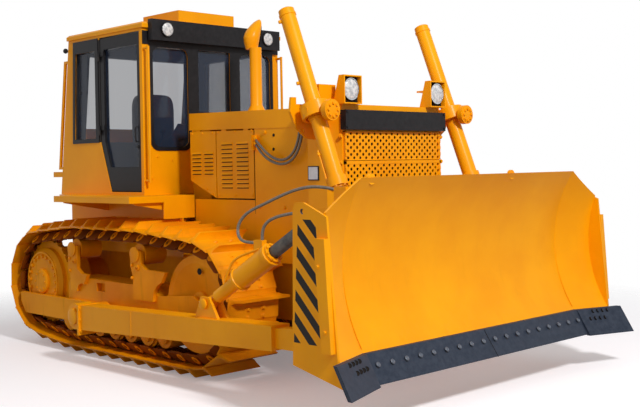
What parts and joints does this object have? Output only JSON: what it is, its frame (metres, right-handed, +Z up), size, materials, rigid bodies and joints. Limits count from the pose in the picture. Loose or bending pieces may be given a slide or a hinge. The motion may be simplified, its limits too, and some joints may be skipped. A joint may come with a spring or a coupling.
{
  "type": "crawler bulldozer",
  "caption": "Yellow crawler bulldozer with a wide straight blade on push arms, upright lift cylinders, glazed cab, louvred engine sides and steel tracks.",
  "frame": {"origin": "centre of the machine's overall length and width, on the ground under the track lugs", "axes": "+X forward towards the blade, +Y to the machine's left, +Z up"},
  "size_m": [5.5157, 3.344, 3.1506],
  "materials": {
    "black_paint": "satin black paint",
    "black_plastic": "black plastic",
    "chrome": "hard-chromed rod",
    "dark_steel": "dark grey steel",
    "frame_paint": "chrome-yellow paint over castings and rolled steel",
    "glass": "clear flat glass",
    "rubber": "dark grey rubber hose",
    "seat_fabric": "black vinyl",
    "worn_steel": "bare grey steel",
    "yellow_paint": "glossy chrome-yellow paint, dusty in places"
  },
  "bodies": {
    "hull": {"axle_housings": "frame_paint", "balance_beam": "frame_paint", "cab_body": "yellow_paint", "cab_glass": "glass", "cab_roof": "yellow_paint", "carrier_rollers": "frame_paint", "console": "black_plastic", "drawbar": "frame_paint", "engine_block": "dark_steel", "engine_sides": "yellow_paint", "exhaust_stack": "yellow_paint", "firewall": "yellow_paint", "front_band": "black_paint", "fuel_tank": "yellow_paint", "grille": "yellow_paint", "handrails": "yellow_paint", "headlamp_housings": "yellow_paint", "hood": "yellow_paint", "hose_ports": "dark_steel", "idlers": "frame_paint", "lift_yokes": "yellow_paint", "louvre_panels": "yellow_paint", "main_frame": "frame_paint", "platforms": "yellow_paint", "radiator_guard": "yellow_paint", "rear_case": "frame_paint", "roof_box": "yellow_paint", "seat": "seat_fabric", "side_hose": "rubber", "side_hose_low": "rubber", "side_plates": "yellow_paint", "sprockets": "frame_paint", "track_frames": "frame_paint", "track_left": "frame_paint", "track_right": "frame_paint", "track_rollers": "frame_paint", "visor": "black_paint", "window_frames": "black_paint"},
    "blade": {"blade": "yellow_paint", "end_plates": "yellow_paint", "cutting_edge": "worn_steel", "end_bits": "worn_steel", "blade_back": "yellow_paint", "push_arms": "yellow_paint", "tilt_cylinder": "yellow_paint", "tilt_rod": "dark_steel", "screw_brace": "yellow_paint", "tilt_hose": "rubber", "tilt_hose_low": "rubber"},
    "lift_barrel_right": {"lift_cylinder_right": "yellow_paint"},
    "lift_rod_right": {"lift_rod_right": "chrome"},
    "door_right": {"cab_door_right": "black_paint", "door_glass_right": "glass"},
    "lift_barrel_left": {"lift_cylinder_left": "yellow_paint"},
    "lift_rod_left": {"lift_rod_left": "chrome"},
    "door_left": {"cab_door_left": "black_paint", "door_glass_left": "glass"}
  },
  "joints": [
    {"name": "blade_lift", "type": "hinge", "parent": "hull", "child": "blade", "pos_m": [-0.82, 0, 0.42], "axis": [0, -1, 0], "range_deg": [-12.2, 12.4]},
    {"name": "lift_barrel_turn_right", "type": "hinge", "parent": "hull", "child": "lift_barrel_right", "pos_m": [1.585, -0.79, 2.085], "axis": [0, -1, 0], "range_deg": [-8, 8]},
    {"name": "lift_rod_slide_right", "type": "slide", "parent": "lift_barrel_right", "child": "lift_rod_right", "axis": [0.3648, 0, -0.9311], "range_m": [-0.63, 0.63]},
    {"name": "lift_barrel_turn_left", "type": "hinge", "parent": "hull", "child": "lift_barrel_left", "pos_m": [1.585, 0.79, 2.085], "axis": [0, -1, 0], "range_deg": [-8, 8]},
    {"name": "lift_rod_slide_left", "type": "slide", "parent": "lift_barrel_left", "child": "lift_rod_left", "axis": [0.3648, 0, -0.9311], "range_m": [-0.63, 0.63]},
    {"name": "cab_door_right_hinge", "type": "hinge", "parent": "hull", "child": "door_right", "pos_m": [-1.3, -0.824, 2.2], "axis": [0, 0, -1], "range_deg": [0, 110]},
    {"name": "cab_door_left_hinge", "type": "hinge", "parent": "hull", "child": "door_left", "pos_m": [-1.3, 0.824, 2.2], "axis": [0, 0, 1], "range_deg": [0, 110]}
  ],
  "couplings": [
    {"joint": "lift_barrel_turn_right", "follows": "blade_lift", "ratio": 0.53},
    {"joint": "lift_rod_slide_right", "follows": "blade_lift", "m_per_rad": -2.84},
    {"joint": "lift_barrel_turn_left", "follows": "blade_lift", "ratio": 0.53},
    {"joint": "lift_rod_slide_left", "follows": "blade_lift", "m_per_rad": -2.84}
  ]
}
